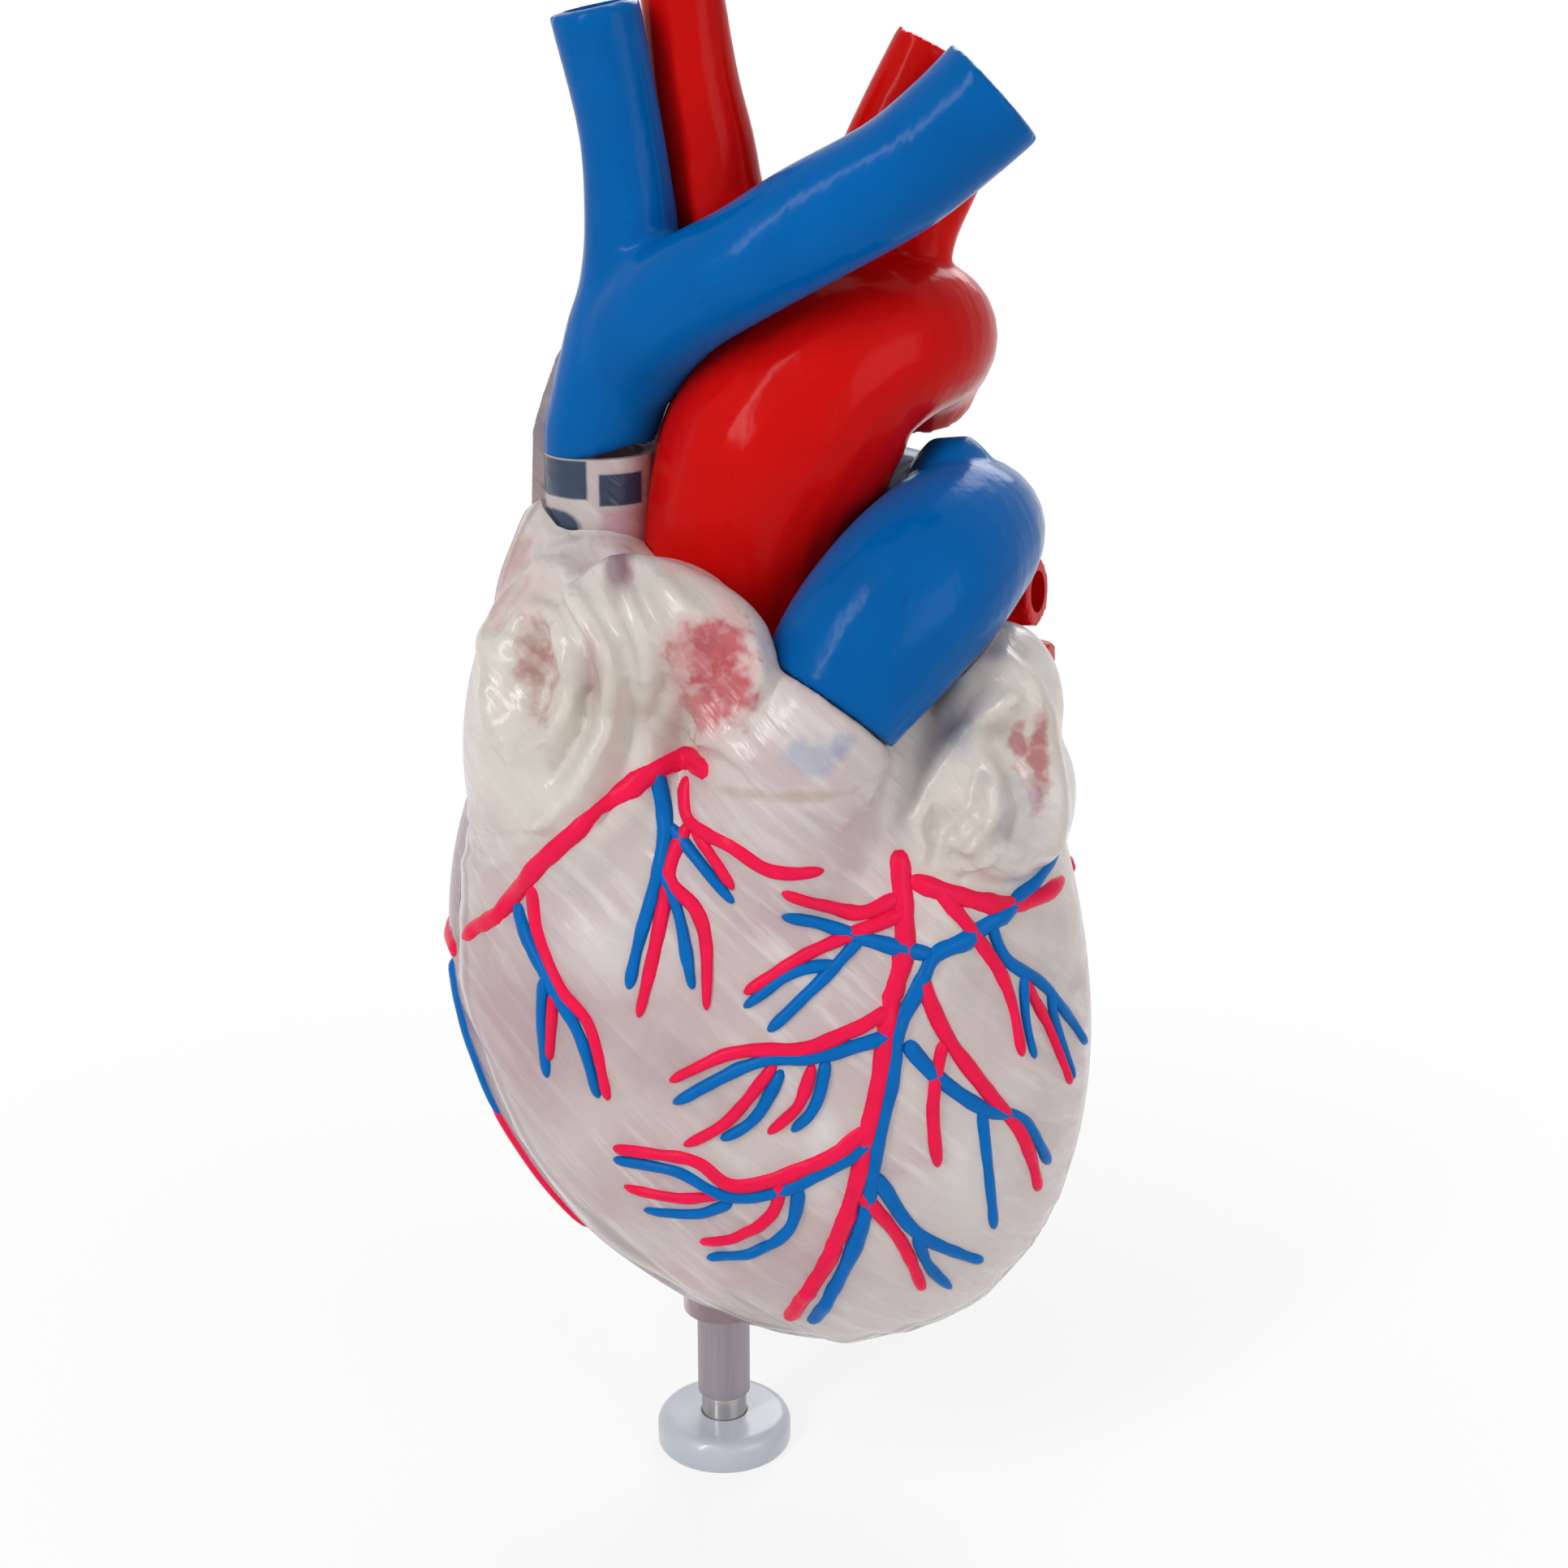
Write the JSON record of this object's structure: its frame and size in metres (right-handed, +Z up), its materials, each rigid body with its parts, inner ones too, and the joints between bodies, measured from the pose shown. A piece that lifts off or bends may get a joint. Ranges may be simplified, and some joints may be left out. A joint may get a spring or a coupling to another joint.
{
  "type": "human heart anatomy model",
  "caption": "Life-size see-through heart model in two halves with red and blue great vessels, on a short rod and a small disc foot.",
  "frame": {"origin": "centre of the foot's underside, on the rod's axis", "axes": "+Z up along the rod, -Y towards the viewer of the front shell, +X to the viewer's right (the heart's own left)"},
  "size_m": [0.1058, 0.0898, 0.2399],
  "materials": {
    "pad": "matte",
    "foot_white": "smooth white paint",
    "steel": "bright",
    "nickel": "nickel plated, polished",
    "tube_grey": "satin",
    "clear": "clear, polished, faintly warm",
    "red": "glossy paint",
    "blue": "glossy paint",
    "coronary_red": "glossy paint",
    "coronary_blue": "glossy paint",
    "flesh": "satin",
    "valve_cream": "satin"
  },
  "bodies": {
    "stand": {"foot_pad": "pad", "foot_disc": "foot_white", "foot_screw": "steel", "stand_pin": "nickel"},
    "stem": {"stem_tube": "tube_grey"},
    "heart": {"stem_socket": "clear", "back_shell": "clear", "locating_tabs": "clear", "aorta": "red", "brachiocephalic_artery": "red", "left_carotid_artery": "red", "left_subclavian_artery": "red", "superior_vena_cava": "blue", "left_brachiocephalic_vein": "blue", "inferior_vena_cava": "blue", "pulmonary_trunk": "blue", "right_pulmonary_artery": "blue", "left_pulmonary_veins": "red", "right_pulmonary_veins": "red", "septum": "flesh", "valve_floor": "flesh", "tricuspid_valve": "valve_cream", "mitral_valve": "valve_cream", "aortic_valve": "valve_cream", "pulmonary_valve": "valve_cream", "papillary_muscles": "flesh", "chordae_tendineae": "valve_cream", "back_coronary_arteries": "coronary_red", "back_cardiac_veins": "coronary_blue"},
    "front": {"front_shell": "clear", "front_coronary_arteries": "coronary_red", "front_cardiac_veins": "coronary_blue"}
  },
  "joints": [
    {"name": "stem_turn", "type": "hinge", "parent": "stand", "child": "stem", "pos_m": [0, 0, 0.0097], "axis": [0, 0, 1], "continuous": true},
    {"name": "heart_lift_off", "type": "slide", "parent": "stem", "child": "heart", "axis": [0, 0, 1], "range_m": [0, 0.03]},
    {"name": "front_pull_off", "type": "slide", "parent": "heart", "child": "front", "axis": [0.1277, -0.9698, 0.2079], "range_m": [0, 0.09]}
  ]
}
